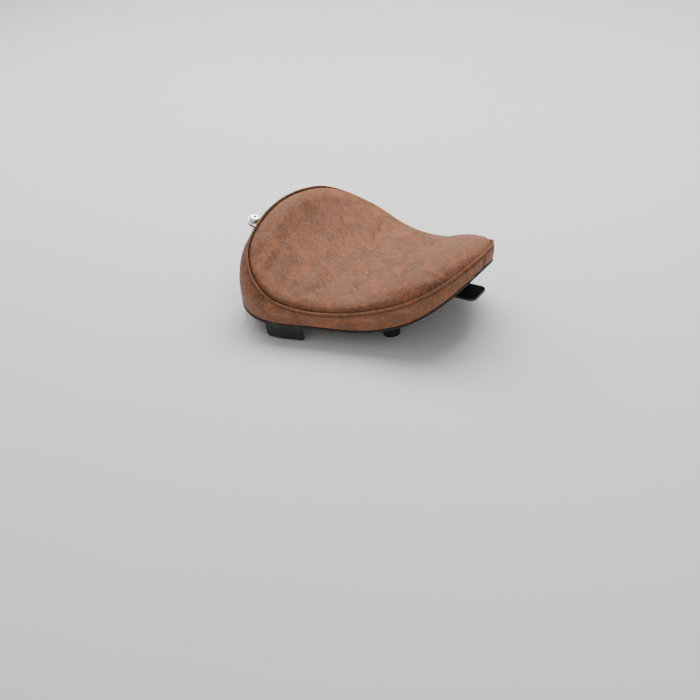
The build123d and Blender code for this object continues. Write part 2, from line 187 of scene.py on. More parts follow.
def saddle_r(x):
    return np.where(x < SADDLE_X, SEAM_REAR_R, SEAM_NOSE_R)


def seam_z(x):
    radius = saddle_r(x)
    return SEAM_LOW + radius - np.sqrt(radius**2 - (x - SADDLE_X) ** 2)


def seam(share):
    """The seam line in space."""
    z = seam_z(rim(share)[0][..., 0])
    for _ in range(40):
        z = seam_z(on_wall(share, z, 0 * z)[..., 0])
    return on_wall(share, z, 0 * z)


def unit(vectors):
    return vectors / np.linalg.norm(vectors, axis=-1, keepdims=True)


def seam_frame(share):
    """The seam point, and the directions along the seam, down the wall and out of it."""
    share = np.asarray(share, float)
    step = 1e-4
    along = unit(seam(share + step) - seam(share - step))
    point = seam(share)
    lower = on_wall(share, point[..., 2] - MM, 0 * point[..., 2])
    ruling = unit(lower - point)
    out = unit(np.cross(ruling, along))
    normal = rim(share)[1]
    facing = np.sign(np.sum(out[..., :2] * normal, -1, keepdims=True))
    out = out * facing
    down = unit(ruling - along * np.sum(ruling * along, -1, keepdims=True))
    return point, along, down, out


def edge_z(x):
    """Height of the lower edge."""
    run = np.maximum(x - EDGE_KNEE_X, 0)
    return EDGE_LEVEL + EDGE_ARC_R - np.sqrt(EDGE_ARC_R**2 - run**2)


def arch_z(x, y, clearance):
    """Height of the arch over the wheel guard."""
    crown = GUARD_CROWN_R + TUNNEL_GAP + clearance
    inside = np.maximum(crown**2 - y**2, 0)
    ring = GUARD_ARC_R - GUARD_CROWN_R + np.sqrt(inside)
    height = GUARD_Z + np.sqrt(np.maximum(ring**2 - (x - GUARD_X) ** 2, 0))
    return np.where(np.abs(y) < crown, height, -1.0)


def floor_z(x, y, lift, clearance):
    """The underside: the lower edge raised by lift, or the arch where that is higher."""
    return np.maximum(edge_z(x) + lift, np.where(x < SADDLE_X, arch_z(x, y, clearance), -1.0))


def foot_z(share, inset=0.0):
    """Height where the wall, moved in by inset, ends at the underside."""
    share = np.asarray(share, float)
    z = np.full(share.shape, EDGE_LEVEL)
    for _ in range(40):
        point = on_wall(share, z, np.full(share.shape, -inset))
        z = 0.5 * z + 0.5 * floor_z(point[..., 0], point[..., 1], 0.0, ARCH_CLEARANCE)
    return z


# ---------------------------------------------------------------- mesh helpers


def start_fresh():
    if bpy.context.mode != "OBJECT":
        bpy.ops.object.mode_set(mode="OBJECT")
    bpy.ops.object.select_all(action="DESELECT")


def coordinates(piece):
    flat = np.empty(len(piece.data.vertices) * 3)
    piece.data.vertices.foreach_get("co", flat)
    return flat.reshape(-1, 3)


def move_to(piece, points):
    piece.data.vertices.foreach_set("co", np.asarray(points, float).ravel())
    piece.data.update()


def named(name):
    piece = bpy.context.active_object
    piece.name = name
    piece.data.name = name
    return piece


def edit(piece, mode="VERT"):
    bpy.context.view_layer.objects.active = piece
    piece.select_set(True)
    bpy.ops.object.mode_set(mode="EDIT")
    bpy.ops.mesh.select_mode(type=mode)
    bpy.ops.mesh.select_all(action="SELECT")


def done():
    bpy.ops.object.mode_set(mode="OBJECT")


def select_vertices(piece, chosen):
    """Selects the vertices of a true list, and leaves the piece in edit mode."""
    done()
    piece.data.vertices.foreach_set("select", np.asarray(chosen, bool))
    flat = np.asarray(chosen, bool)
    for edge in piece.data.edges:
        edge.select = bool(flat[edge.vertices[0]] and flat[edge.vertices[1]])
    for face in piece.data.polygons:
        face.select = all(flat[v] for v in face.vertices)
    bpy.ops.object.mode_set(mode="EDIT")


def modifier(piece, kind, **settings):
    """Adds a modifier and applies it."""
    bpy.context.view_layer.objects.active = piece
    added = piece.modifiers.new(kind.title(), kind)
    for key, value in settings.items():
        setattr(added, key, value)
    bpy.ops.object.modifier_apply(modifier=added.name)


def sheet_grid(name, columns, rows):
    """A flat grid piece, and each vertex's place across and along as shares from 0 to 1."""
    start_fresh()
    bpy.ops.mesh.primitive_grid_add(x_subdivisions=columns, y_subdivisions=rows, size=1)
    piece = named(name)
    flat = coordinates(piece)
    return piece, flat[:, 0] + 0.5, flat[:, 1] + 0.5


def weld(piece):
    """Merges doubles and turns the faces outward."""
    edit(piece)
    bpy.ops.mesh.remove_doubles(threshold=0.02 * MM)
    bpy.ops.mesh.normals_make_consistent(inside=False)
    done()


def shade(piece, angle=40):
    start_fresh()
    bpy.context.view_layer.objects.active = piece
    piece.select_set(True)
    bpy.ops.object.shade_smooth_by_angle(angle=radians(angle))
    piece.select_set(False)


def ripple(points, wavelength, seed):
    """A gentle fixed waviness from -1 to 1, the same each run."""
    draws = np.random.default_rng(seed)
    total = 0
    for _ in range(7):
        heading = unit(draws.normal(size=3))
        length = wavelength * draws.uniform(0.7, 1.6)
        total = total + np.sin(points @ heading * 2 * pi / length + draws.uniform(0, 2 * pi))
    return total / 7 * 1.6


# ---------------------------------------------------------------- padded top

PANEL_TUCK = 1.9 * MM
TUCK_DEPTH = 2.4 * MM
TUCK_LEAN = 0.3 * MM
GROOVE_RUN = 2.4 * MM
TOP_RINGS = (1.0, 2.4, 4.2, 6.6, 9.6, 13.2, 17.4, 22.4, 28.4, 35.0)
SIDE_RINGS = 5


def unroll(points):
    """Saddle coordinates of points: the run along the saddle curve, and y."""
    x = points[..., 0]
    radius = saddle_r(x)
    return np.stack([radius * np.arcsin((x - SADDLE_X) / radius), points[..., 1]], -1)


def roll_up(flat, height):
    """Points at a height over the saddle surface, from saddle coordinates."""
    run, y = flat[..., 0], flat[..., 1]
    radius = np.where(run < 0, SEAM_REAR_R, SEAM_NOSE_R)
    turn = run / radius
    x = SADDLE_X + (radius - height) * np.sin(turn)
    z = SEAM_LOW + radius - (radius - height) * np.cos(turn)
    return np.stack([x, y, z], -1)


def panel_edge():
    """Saddle coordinates of the top panel's edge and its inward normals."""
    share = np.arange(ROUND) / ROUND
    point, along, down, out = seam_frame(share)
    flat = unroll(point - out * PANEL_TUCK)
    ahead = unit(np.roll(flat, -1, 0) - np.roll(flat, 1, 0))
    return flat, np.stack([-ahead[:, 1], ahead[:, 0]], -1)


def distance_in(flat, edge):
    """How far each point is from the panel's edge, in saddle coordinates."""
    ends = np.roll(edge, -1, 0) - edge
    found = np.empty(len(flat))
    for start in range(0, len(flat), 2000):
        part = flat[start:start + 2000, None] - edge[None]
        share = np.clip(np.sum(part * ends, -1) / np.sum(ends * ends, -1), 0, 1)
        found[start:start + 2000] = np.linalg.norm(part - share[..., None] * ends, axis=-1).min(1)
    return found


def crown(flat, inward):
    """Height of the padding over the saddle surface."""
    ends = np.clip(np.where(flat[:, 0] < 0, -flat[:, 0] / REAR_RUN, flat[:, 0] / NOSE_RUN), 0, 1)
    end_crown = np.where(flat[:, 0] < 0, REAR_CROWN, NOSE_CROWN)
    full = SADDLE_CROWN + (end_crown - SADDLE_CROWN) * smooth(0.1, 0.75, ends)
    edge_run = EDGE_RUN + (NOSE_EDGE_RUN - EDGE_RUN) * smooth(0.5, 0.9, ends) * (flat[:, 0] > 0)
    rolled = np.sqrt(1 - (1 - np.clip(inward / edge_run, 0, 1)) ** 2)
    domed = 1 - (1 - np.clip(inward / CROWN_RUN, 0, 1)) ** 2
    groove = GROOVE_DEPTH * (1 - smooth(0, GROOVE_RUN, inward))
    return full * (EDGE_SHARE * rolled + (1 - EDGE_SHARE) * domed) - groove


def make_cushion():
    """The padded body: a rolled edge at the seam, a crowned top and a foot that rests on the pan."""
    start_fresh()
    bpy.ops.mesh.primitive_circle_add(vertices=ROUND, radius=1, fill_type="NOTHING")
    piece = named("padded_top")
    flat, inward = panel_edge()
    top = roll_up(flat, np.zeros(ROUND))
    move_to(piece, top)
    edit(piece)
    for reach in TOP_RINGS:
        bpy.ops.mesh.extrude_edges_indiv()
        done()
        points = coordinates(piece)
        points[-ROUND:] = roll_up(flat + inward * reach * MM, np.zeros(ROUND))
        move_to(piece, points)
        bpy.ops.object.mode_set(mode="EDIT")
    bpy.ops.mesh.fill_grid(span=ROUND // 4, offset=ROUND // 8)
    done()
    points = coordinates(piece)
    count = len(points)
    saddle = unroll(points)
    depth = distance_in(saddle, flat)
    depth[:ROUND] = 0
    height = crown(saddle, depth)
    shrink = SIM_SHRINK * smooth(4 * MM, 45 * MM, depth)
    move_to(piece, roll_up(saddle, height - shrink))

    share = np.arange(ROUND) / ROUND
    tuck, _, down, out = seam_frame(share)
    first = tuck - out * (PANEL_TUCK + TUCK_LEAN) + down * TUCK_DEPTH
    foot = foot_z(share) + FOAM_LIFT
    inset = np.full(ROUND, -PAN_CLEARANCE - MM)
    select_vertices(piece, np.arange(count) < ROUND)
    for ring in range(1, SIDE_RINGS + 1):
        bpy.ops.mesh.extrude_edges_indiv()
        done()
        points = coordinates(piece)
        step = (ring - 1) / (SIDE_RINGS - 1)
        lower = on_wall(share, first[:, 2] + (foot - first[:, 2]) * step, inset)
        points[-ROUND:] = first if ring == 1 else lower
        move_to(piece, points)
        bpy.ops.object.mode_set(mode="EDIT")
    bpy.ops.mesh.fill_grid(span=ROUND // 4, offset=ROUND // 8)
    done()
    points = coordinates(piece)
    under = np.arange(len(points)) >= count + SIDE_RINGS * ROUND
    x, y = points[under, 0], points[under, 1]
    points[under, 2] = np.maximum(floor_z(x, y, FOAM_LIFT, FOAM_OVER_ARCH), edge_z(x) + FOAM_LIFT)
    move_to(piece, points)
    weld(piece)
    return piece, count


def swell(piece, count):
    """Blows the top up against its sewn edge with a cloth simulation, and keeps the result."""
    rest = coordinates(piece)
    saddle = unroll(rest)
    edge, _ = panel_edge()
    depth = distance_in(saddle, edge)
    is_top = np.arange(len(rest)) < count
    held = piece.vertex_groups.new(name="held")
    for index in np.nonzero(~is_top | (depth < SIM_HELD))[0]:
        held.add([int(index)], 1.0, "REPLACE")
    bpy.context.view_layer.objects.active = piece
    cloth = piece.modifiers.new("Cloth", "CLOTH")
    cloth.settings.vertex_group_mass = "held"
    cloth.settings.use_pressure = True
    cloth.settings.uniform_pressure_force = 4
    cloth.settings.effector_weights.gravity = 0
    cloth.settings.tension_stiffness = 15
    cloth.settings.compression_stiffness = 15
    cloth.settings.shear_stiffness = 5
    cloth.settings.bending_stiffness = 2
    cloth.point_cache.frame_start = 1
    cloth.point_cache.frame_end = SIM_FRAMES
    for now in range(1, SIM_FRAMES + 1):
        bpy.context.scene.frame_set(now)
    bpy.ops.object.modifier_apply(modifier=cloth.name)
    bpy.context.scene.frame_set(1)
    moved = coordinates(piece) - rest
    size = np.linalg.norm(moved, axis=1)
    moved *= (np.minimum(size, SIM_CAP) / np.maximum(size, 1e-9))[:, None]
    moved[~is_top] = 0
    move_to(piece, rest + moved)
    piece.vertex_groups.clear()


def make_top():
    piece, count = make_cushion()
    swell(piece, count)
    modifier(piece, "SUBSURF", levels=1, render_levels=1)
    points = coordinates(piece)
    edge, _ = panel_edge()
    depth = distance_in(unroll(points), edge)
    normals = np.empty(len(points) * 3)
    piece.data.vertices.foreach_get("normal", normals)
    normals = normals.reshape(-1, 3)
    is_top = smooth(-2 * MM, 6 * MM, points[:, 2] - seam_z(points[:, 0]))
    near_seam = smooth(0.5 * MM, 3 * MM, depth) * (1 - smooth(5 * MM, 18 * MM, depth))
    pucker = 0.35 * MM * ripple(points, 11 * MM, 4) * near_seam
    sag = 0.7 * MM * ripple(points, 95 * MM, 9) * smooth(15 * MM, 50 * MM, depth)
    move_to(piece, points + normals * ((pucker + sag) * is_top)[:, None])
    return piece


# ---------------------------------------------------------------- side bands, roll and stitches

BAND_DROPS = ((2.8, 0.2), (3.5, 0.7), (4.2, 1.15), (5.2, 1.6), (6.8, 2.2))
BAND_HEAD_PROUD = 2.2 * MM
BAND_ROWS = 12
BAND_COLUMNS = 150


def band_profile(share, row_count):
    """Rows of the band from under the roll down to the hem's end, as points in space."""
    point, along, down, out = seam_frame(share)
    foot = foot_z(share)
    rows = [point + down * drop * MM + out * proud * MM for drop, proud in BAND_DROPS]
    head = rows[-1][..., 2]
    tall = np.maximum(head - foot - HEM_ROLL, MM)
    puff = BAND_PUFF * np.clip(tall / (60 * MM), 0.25, 1)
    haunch = HAUNCH_PUFF * smooth(*HAUNCH_SHARES, np.abs(np.abs(share - 0.5) - 0.5))
    for step in range(1, row_count + 1):
        t = step / row_count
        swelling = BAND_HEAD_PROUD * (1 - t) + puff * np.sin(pi * t) + haunch * np.sin(pi * sqrt(t))
        rows.append(on_wall(share, head - tall * t, swelling))
    for turn in (30, 60, 90):
        inset = HEM_ROLL * (1 - cos(radians(turn)))
        rise = HEM_ROLL * (1 - sin(radians(turn)))
        rows.append(on_wall(share, foot_z(share, inset) + rise, np.full(share.shape, -inset)))
    for inset in (8 * MM, HEM_DEPTH):
        rows.append(on_wall(share, foot_z(share, inset), np.full(share.shape, -inset)))
    return np.stack(rows, 0)


def make_band(name, start, end):
    """One half of the side cover, from the nose joint to the rear joint."""
    rows = len(BAND_DROPS) + BAND_ROWS + 5
    piece, across, down_share = sheet_grid(name, BAND_COLUMNS, rows - 1)
    column = np.round(across * BAND_COLUMNS).astype(int)
    row = np.round(down_share * (rows - 1)).astype(int)
    share = start + (end - start) * np.arange(BAND_COLUMNS + 1) / BAND_COLUMNS
    laid = band_profile(share, BAND_ROWS)
    points = laid[row, column]
    normal = rim(share)[1]
    joint = np.minimum(np.abs(share - start), np.abs(share - end)) * PERIMETER
    pinch = -1.1 * MM * (1 - smooth(0.2 * MM, 3.0 * MM, joint))[column]
    fade = np.where((row > 2) & (row < rows - 5), 1.0, 0.0)
    depth = np.clip((row - 3) / 4, 0, 1) * (1 - np.clip((row - 4) / 6, 0, 1))
    pucker = 0.4 * MM * ripple(points, 13 * MM, 21) * depth
    wave = 0.5 * MM * ripple(points, 60 * MM, 33) * fade
    shift = pinch + (pucker + wave) * fade
    points[:, :2] += normal[column] * shift[:, None]
    move_to(piece, points)
    weld(piece)
    outward = sum(f.normal.x * f.center.x + f.normal.y * f.center.y for f in piece.data.polygons)
    if outward < 0:
        edit(piece)
        bpy.ops.mesh.flip_normals()
        done()
    modifier(piece, "SOLIDIFY", thickness=COVER_T, offset=-1, use_even_offset=False)
    modifier(piece, "SUBSURF", levels=1, render_levels=1)
    return piece


ROLL_SECTION = (
    (1.6, -0.5), (0.5, -0.45), (-0.1, 0.0), (-0.35, 0.8), (-0.1, 1.6), (0.6, 2.2), (1.6, 2.45),
    (2.6, 2.2), (3.3, 1.6), (3.6, 0.8), (3.3, 0.0), (2.6, -0.4),
)
ROLL_COLUMNS = 360


def make_roll():
    """The folded top edge of the side cover that stands up round the top panel."""
    sides = len(ROLL_SECTION)
    piece, across, around = sheet_grid("seam_roll", ROLL_COLUMNS, sides)
    column = np.round(across * ROLL_COLUMNS).astype(int) % ROLL_COLUMNS
    side = np.round(around * sides).astype(int) % sides
    share = np.arange(ROLL_COLUMNS) / ROLL_COLUMNS
    point, along, down, out = seam_frame(share)
    section = np.array(ROLL_SECTION) * MM
    laid = point[column] + down[column] * section[side, :1] + out[column] * section[side, 1:]
    lift = 0.16 * MM * ripple(laid, 9 * MM, 5)
    laid += (out[column] - down[column]) * lift[:, None]
    move_to(piece, laid)
    weld(piece)
    modifier(piece, "SUBSURF", levels=1, render_levels=1)
    return piece


def one_stitch():
    """A short round thread that dips at both ends."""
    start_fresh()
    bpy.ops.mesh.primitive_cylinder_add(
        vertices=6, radius=THREAD_R, depth=STITCH_LENGTH, rotation=(0, pi / 2, 0)
    )
    piece = named("stitch")
    bpy.ops.object.transform_apply(location=True, rotation=True, scale=True)
    edit(piece)
    for at in (-0.3, 0.0, 0.3):
        bpy.ops.mesh.select_all(action="SELECT")
        bpy.ops.mesh.bisect(plane_co=(at * STITCH_LENGTH, 0, 0), plane_no=(1, 0, 0))
    done()
    points = coordinates(piece)
    reach = np.abs(points[:, 0]) / (STITCH_LENGTH / 2)
    points[:, 1:] *= (1 - 0.45 * smooth(0.6, 1.0, reach))[:, None]
    points[:, 2] -= 0.9 * THREAD_R * smooth(0.5, 1.0, reach) + 0.35 * THREAD_R * reach**2
    move_to(piece, points)
    return piece


def sew(name, spots):
    """Copies the stitch to each spot, given as its place and its directions along and out."""
    pattern = one_stitch()
    shape = coordinates(pattern)
    faces = [tuple(face.vertices) for face in pattern.data.polygons]
    corners, polygons = [], []
    for place, along, out in spots:
        side = np.cross(out, along)
        turned = shape @ np.stack([along, side, out])
        base = len(corners) * len(shape)
        corners.append(turned + place)
        polygons += [tuple(v + base for v in face) for face in faces]
    mesh = bpy.data.meshes.new(name)
    mesh.from_pydata(np.concatenate(corners), [], polygons)
    mesh.update()
    piece = bpy.data.objects.new(name, mesh)
    bpy.context.scene.collection.objects.link(piece)
    bpy.data.objects.remove(pattern)
    return piece


def seam_stitches():
    count = round(PERIMETER / STITCH_PITCH)
    share = (np.arange(count) + 0.5) / count
    point, along, down, out = seam_frame(share)
    place = point + down * STITCH_DROP + out * STITCH_PROUD
    return sew("seam_stitches", zip(place, along, unit(out - 0.25 * down)))


def joint_stitches():
    """Two short rows down the band, one each side of its joint at the nose."""
    spots = []
    for side in (-1, 1):
        share = np.array([side * JOINT_ROW_OFFSET / PERIMETER])
        rows = band_profile(share, BAND_ROWS)[4:-4, 0]
        steps = np.linalg.norm(np.diff(rows, axis=0), axis=1)
        run = np.concatenate([[0], np.cumsum(steps)])
        count = int(run[-1] // STITCH_PITCH)
        for index in range(count):
            at = (index + 0.5) * STITCH_PITCH
            place = np.array([np.interp(at, run, rows[:, k]) for k in range(3)])
            ahead = np.array([np.interp(at + MM, run, rows[:, k]) for k in range(3)])
            normal = np.append(rim(share)[1][0], 0.0)
            along = unit(ahead - place)
            out = unit(normal - along * (normal @ along))
            spots.append((place + out * JOINT_STITCH_PROUD, along, out))
    return sew("joint_stitches", spots)


# ---------------------------------------------------------------- label


LABEL_T = 1.4 * MM
LABEL_CORNER = 4 * MM
LABEL_MARGIN = 0.9 * MM
LABEL_SLOPE = 0.35 * MM
LABEL_BORDER = 1.0 * MM
LABEL_RAISE = 0.35 * MM
LABEL_OUT = 2.5 * MM
LABEL_LEAN = 2.0 * MM
LABEL_STRIPS = 24


def make_label():
    """The blank flexible tab under the right lower edge, with a plain raised border."""
    low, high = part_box("label_tab")
    start_fresh()
    bpy.ops.mesh.primitive_cube_add(size=1)
    piece = named("side_label")
    width, drop = high.x - low.x, high.z - low.z
    move_to(piece, coordinates(piece) * (width, LABEL_T, drop))
    edit(piece, "EDGE")
    select_where(
        piece,
        lambda centre, spread: centre[2] < 0 and spread[1] > 0.5 * LABEL_T and spread[0] < 0.1 * MM,
        "edges",
    )
    bpy.ops.mesh.bevel(offset=LABEL_CORNER, segments=5, affect="EDGES")
    select_where(piece, lambda centre, spread: centre[1] < -0.49 * LABEL_T, "faces")
    bpy.ops.mesh.inset(thickness=LABEL_MARGIN)
    bpy.ops.mesh.inset(thickness=LABEL_SLOPE, depth=LABEL_RAISE)
    bpy.ops.mesh.inset(thickness=LABEL_BORDER)
    bpy.ops.mesh.inset(thickness=LABEL_SLOPE, depth=-LABEL_RAISE)
    for step in range(1, LABEL_STRIPS):
        at = (step / LABEL_STRIPS - 0.5) * width
        bpy.ops.mesh.select_all(action="SELECT")
        bpy.ops.mesh.bisect(plane_co=(at, 0, 0), plane_no=(1, 0, 0))
    done()
    points = coordinates(piece)
    share = label_share((low.x + high.x) / 2) - points[:, 0] / PERIMETER
    hang = EDGE_LEVEL - drop / 2 + points[:, 2]
    foot = np.full(len(points), EDGE_LEVEL)
    laid = on_wall(share, foot, -points[:, 1] - LABEL_OUT)
    laid[:, 2] = hang
    laid[:, 1] += LABEL_LEAN * smooth(0, 1, (EDGE_LEVEL - hang) / drop)
    move_to(piece, laid)
    weld(piece)
    modifier(piece, "BEVEL", width=0.25 * MM, segments=2, limit_method="ANGLE", angle_limit=radians(35))
    return piece


def label_share(x):
    """Share of the seam's length, on the right side, whose wall foot is at x."""
    shares = np.linspace(0.5, 1, 2001)
    feet = on_wall(shares, np.full(2001, EDGE_LEVEL), np.zeros(2001))
    return shares[np.argmin(np.abs(feet[:, 0] - x))]


def select_where(piece, test, what):
    """Selects edges or faces by their centre and spread, and leaves the piece in edit mode."""
    done()
    points = coordinates(piece)
    for vertex in piece.data.vertices:
        vertex.select = False
    for edge in piece.data.edges:
        edge.select = False
    for face in piece.data.polygons:
        face.select = False
    group = piece.data.edges if what == "edges" else piece.data.polygons
    for item in group:
        corners = points[list(item.vertices)]
        item.select = bool(test(corners.mean(0), np.ptp(corners, axis=0)))
    bpy.ops.object.mode_set(mode="EDIT")
    bpy.ops.mesh.select_mode(type="EDGE" if what == "edges" else "FACE")


# ---------------------------------------------------------------- materials


class Wire:
    """A socket that carries a value, with the maths that the finishes need."""

    def __init__(self, finish, socket):
        self.finish = finish
        self.socket = socket

    def maths(self, operation, first, second=0.0):
        return self.finish.node("Math", {"operation": operation}, {0: first, 1: second})

    def __add__(self, other):
        return self.maths("ADD", self, other)

    def __mul__(self, other):
        return self.maths("MULTIPLY", self, other)

    def __rsub__(self, other):
        return self.maths("SUBTRACT", other, self)

    def step(self, low, high):
        """0 below low and 1 above high, with a soft step between them."""
        sockets = {"Value": self, "From Min": low, "From Max": high}
        return self.finish.node("MapRange", {"interpolation_type": "SMOOTHSTEP"}, sockets)


class Finish:
    """One material while its nodes are laid."""

    def __init__(self, name, **surface):
        self.material = bpy.data.materials.new(name)
        self.material.use_nodes = True
        self.tree = self.material.node_tree
        self.shader = self.tree.nodes["Principled BSDF"]
        for key, value in surface.items():
            self.shader.inputs[key.replace("_", " ").title().replace("Ior", "IOR")].default_value = value
        self.place = self.node("TexCoord", output="Object")

    def node(self, kind, settings=None, sockets=None, output=0):
        made = self.tree.nodes.new("ShaderNode" + kind)
        for key, value in (settings or {}).items():
            setattr(made, key, value)
        for key, value in (sockets or {}).items():
            self.feed(made.inputs[key], value)
        return Wire(self, made.outputs[output])

    def feed(self, socket, value):
        if isinstance(value, Wire):
            self.tree.links.new(value.socket, socket)
        elif isinstance(value, tuple) and len(value) == 3 and socket.type == "RGBA":
            socket.default_value = (*value, 1)
        else:
            socket.default_value = value

    def set(self, **inputs):
        for key, value in inputs.items():
            self.feed(self.shader.inputs[key.replace("_", " ").title()], value)

    def stretched(self, scale=(1, 1, 1), turn=(0, 0, 0)):
        """Object coordinates, turned and then stretched."""
        turned = self.node("Mapping", {"vector_type": "POINT"}, {"Vector": self.place, "Rotation": turn})
        return self.node("Mapping", {"vector_type": "POINT"}, {"Vector": turned, "Scale": scale})

    def noise(self, scale, detail=3.0, rough=0.55, vector=None, distortion=0.0):
        sockets = {
            "Vector": vector or self.place,
            "Scale": scale,
            "Detail": detail,
            "Roughness": rough,
            "Distortion": distortion,
        }
        return self.node("TexNoise", {}, sockets)

    def cells(self, scale, feature="F1"):
        return self.node("TexVoronoi", {"feature": feature}, {"Vector": self.place, "Scale": scale})

    def mix(self, share, first, second):
        return self.node("Mix", {"data_type": "RGBA"}, {0: share, 6: first, 7: second}, output=2)

    def bump(self, height, distance, strength=1.0, under=None):
        sockets = {"Height": height, "Distance": distance, "Strength": strength}
        if under is not None:
            sockets["Normal"] = under
        return self.node("Bump", {}, sockets)


def cover_vinyl():
    """Distressed brown vinyl: mottled, with grey rubbed patches, rust streaks and a fine grain."""
    f = Finish("distressed_vinyl", specular_ior_level=0.22)
    brown = (0.270, 0.108, 0.056)
    deep = (0.112, 0.058, 0.035)
    grey = (0.180, 0.112, 0.078)
    rust = (0.440, 0.145, 0.054)
    rosy = (0.390, 0.190, 0.120)

    clouds = f.noise(26, 4, 0.6, distortion=0.6)
    patches = f.noise(98, 4, 0.62, distortion=0.4)
    flecks = f.noise(300, 3, 0.65)
    specks = f.noise(560, 2, 0.6)
    brushed = f.noise(62, 4, 0.65, f.stretched((0.30, 1.25, 1.25), (0, 0, radians(38))), 0.8)
    combed = f.noise(120, 3, 0.6, f.stretched((0.22, 1.4, 1.4), (0, 0, radians(-8))), 0.5)

    tone = f.mix(clouds.step(0.32, 0.58) * 0.6 + 0.4, deep, brown)
    tone = f.mix(patches.step(0.50, 0.70) * 0.60, tone, grey)
    tone = f.mix(brushed.step(0.48, 0.70) * 0.80, tone, rust)
    tone = f.mix(combed.step(0.54, 0.74) * 0.60, tone, rosy)
    tone = f.mix((1 - patches.step(0.30, 0.46)) * 0.4, tone, deep)
    tone = f.mix(flecks.step(0.54, 0.66) * 0.52, tone, rosy)
    tone = f.mix((1 - flecks.step(0.34, 0.46)) * 0.55, tone, deep)
    tone = f.mix(specks.step(0.56, 0.68) * 0.45, tone, rosy)
    tone = f.mix((1 - specks.step(0.34, 0.44)) * 0.50, tone, deep)
    f.set(base_color=tone)
    f.set(roughness=patches.step(0.3, 0.7) * 0.14 + specks * 0.1 + 0.54)
    pores = f.cells(820, "DISTANCE_TO_EDGE").step(0.02, 0.16)
    creases = f.noise(260, 4, 0.7, f.stretched((0.5, 1.0, 1.0), (0, 0, radians(30))), 1.2)
    grain = f.bump(pores * 0.4 + creases, 0.25 * MM, 0.55)
    f.set(normal=f.bump(brushed + patches, 0.6 * MM, 0.35, grain))
    return f.material


def sewing_thread():
    f = Finish("brown_thread", sheen_weight=0.25, sheen_roughness=0.5)
    strands = f.noise(2600, 2, 0.6)
    f.set(base_color=f.mix(strands.step(0.35, 0.65), (0.055, 0.026, 0.016), (0.125, 0.058, 0.034)))
    f.set(roughness=strands * 0.2 + 0.6)
    f.set(normal=f.bump(strands, 0.15 * MM, 0.8))
    return f.material


def pan_plastic():
    f = Finish("textured_black_plastic", specular_ior_level=0.45)
    hair = f.cells(1100).step(0.1, 0.6)
    haze = f.noise(30, 4, 0.6)
    f.set(base_color=f.mix(haze.step(0.35, 0.7), (0.014, 0.014, 0.015), (0.030, 0.030, 0.031)))
    f.set(roughness=haze * 0.2 + hair * 0.08 + 0.42)
    f.set(normal=f.bump(hair + f.noise(480, 3, 0.6), 0.12 * MM, 0.6))
    return f.material


def moulded_rubber():
    f = Finish("moulded_rubber", specular_ior_level=0.35)
    bloom = f.noise(70, 5, 0.65)
    dust = f.noise(900, 2, 0.5)
    f.set(base_color=f.mix(bloom.step(0.42, 0.75), (0.016, 0.016, 0.017), (0.045, 0.044, 0.043)))
    f.set(roughness=bloom * 0.2 + dust * 0.1 + 0.55)
    f.set(normal=f.bump(dust, 0.08 * MM, 0.6))
    return f.material


def label_rubber():
    f = Finish("label_rubber", specular_ior_level=0.4)
    dots = f.cells(1400).step(0.15, 0.5)
    wear = f.noise(120, 4, 0.6)
    f.set(base_color=f.mix(wear.step(0.5, 0.8), (0.018, 0.018, 0.020), (0.050, 0.049, 0.050)))
    f.set(roughness=wear * 0.2 + 0.45)
    f.set(normal=f.bump(dots, 0.08 * MM, 0.5))
    return f.material


def lining_felt():
    f = Finish("lining_felt", sheen_weight=0.5, sheen_roughness=0.6, specular_ior_level=0.2)
    fuzz = f.noise(900, 5, 0.75, distortion=2.0)
    tufts = f.noise(160, 4, 0.6)
    f.set(base_color=f.mix(fuzz.step(0.35, 0.65), (0.014, 0.014, 0.015), (0.055, 0.054, 0.054)))
    f.set(roughness=fuzz * 0.1 + 0.85)
    f.set(normal=f.bump(fuzz + tufts * 0.5, 0.6 * MM, 0.8))
    return f.material


def bright_steel():
    f = Finish("brushed_strap_steel", metallic=1.0)
    lines = f.noise(1500, 3, 0.6, f.stretched((0.05, 1, 1)))
    stain = f.noise(140, 4, 0.6)
    f.set(base_color=f.mix(stain.step(0.45, 0.75), (0.66, 0.66, 0.67), (0.50, 0.49, 0.48)))
    f.set(roughness=lines * 0.16 + stain * 0.12 + 0.16)
    f.set(normal=f.bump(lines, 0.03 * MM, 0.5))
    return f.material


def polished_chrome():
    f = Finish("polished_chrome", metallic=1.0)
    smudge = f.noise(260, 4, 0.65)
    f.set(base_color=f.mix(smudge.step(0.4, 0.8), (0.80, 0.81, 0.83), (0.70, 0.70, 0.71)))
    f.set(roughness=smudge.step(0.45, 0.75) * 0.12 + 0.06)
    f.set(normal=f.bump(smudge, 0.01 * MM, 0.3))
    return f.material


def zinc_plate():
    f = Finish("zinc_plate", metallic=1.0)
    spangle = f.cells(700)
    film = f.noise(180, 3, 0.6)
    f.set(base_color=f.mix(film.step(0.35, 0.7), (0.58, 0.58, 0.56), (0.44, 0.46, 0.48)))
    f.set(roughness=spangle * 0.15 + film * 0.12 + 0.26)
    f.set(normal=f.bump(spangle, 0.03 * MM, 0.5))
    return f.material


def powder_coat():
    f = Finish("black_powder_coat", specular_ior_level=0.5)
    peel = f.noise(1100, 2, 0.5)
    scuff = f.noise(60, 5, 0.7, f.stretched((0.3, 1, 1)))
    f.set(base_color=f.mix(scuff.step(0.55, 0.8), (0.012, 0.012, 0.013), (0.05, 0.05, 0.05)))
    f.set(roughness=scuff.step(0.45, 0.8) * 0.2 + 0.3)
    f.set(normal=f.bump(peel, 0.08 * MM, 0.6))
    return f.material


